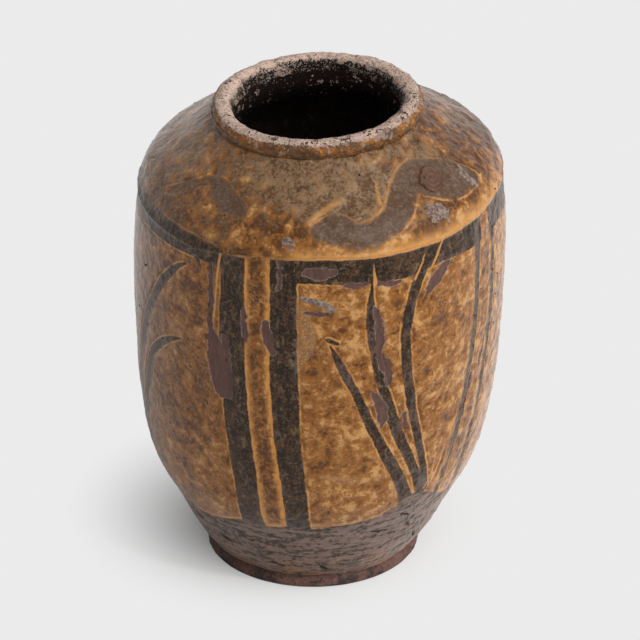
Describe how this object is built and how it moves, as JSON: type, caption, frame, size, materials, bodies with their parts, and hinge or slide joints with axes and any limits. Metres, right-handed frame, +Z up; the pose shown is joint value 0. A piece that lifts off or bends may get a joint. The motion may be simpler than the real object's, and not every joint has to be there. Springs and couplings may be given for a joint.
{
  "type": "storage jar",
  "caption": "Broad-shouldered stoneware storage jar on a narrow foot, with a rolled rim, a ridge at the shoulder, and amber glaze over dark slip stripes, reed tufts and scrolls.",
  "frame": {"origin": "centre of the underside, on the surface that the jar stands on", "axes": "+Z up along the jar's axis; -Y is the side that the picture shows; +X to its right"},
  "size_m": [0.3, 0.3, 0.4078],
  "materials": {
    "bare_clay": "unglazed pinkish-tan stoneware, matt",
    "body_clay": "reddish-brown fired stoneware, matt",
    "inner_slip": "very dark brown slip, matt",
    "dark_slip": "dark iron slip under thin glaze, pitted, satin",
    "amber_glaze": "dimpled amber-brown ash glaze, glossy",
    "shoulder_glaze": "grey-olive to amber mottled glaze, glossy"
  },
  "bodies": {
    "root": {"base_disc": "bare_clay", "foot_ring": "bare_clay", "lower_wall": "body_clay", "middle_wall": "body_clay", "upper_wall": "body_clay", "shoulder_slab": "body_clay", "neck_collar": "body_clay", "rim_roll": "bare_clay", "inner_slip": "inner_slip", "foot_slip_band": "dark_slip", "ridge_slip_band": "dark_slip", "front_first_stripe": "dark_slip", "front_second_stripe": "dark_slip", "front_amber_strip": "amber_glaze", "front_amber_panel": "amber_glaze", "front_reed_tuft": "dark_slip", "front_shoulder_scroll": "dark_slip", "right_first_stripe": "dark_slip", "right_second_stripe": "dark_slip", "right_amber_strip": "amber_glaze", "right_amber_panel": "amber_glaze", "right_reed_tuft": "dark_slip", "right_shoulder_scroll": "dark_slip", "back_first_stripe": "dark_slip", "back_second_stripe": "dark_slip", "back_amber_strip": "amber_glaze", "back_amber_panel": "amber_glaze", "back_reed_tuft": "dark_slip", "back_shoulder_scroll": "dark_slip", "left_first_stripe": "dark_slip", "left_second_stripe": "dark_slip", "left_amber_strip": "amber_glaze", "left_amber_panel": "amber_glaze", "left_reed_tuft": "dark_slip", "left_shoulder_scroll": "dark_slip", "shoulder_glaze": "shoulder_glaze", "rim_glaze": "shoulder_glaze", "pad_scar": "bare_clay"}
  },
  "joints": []
}
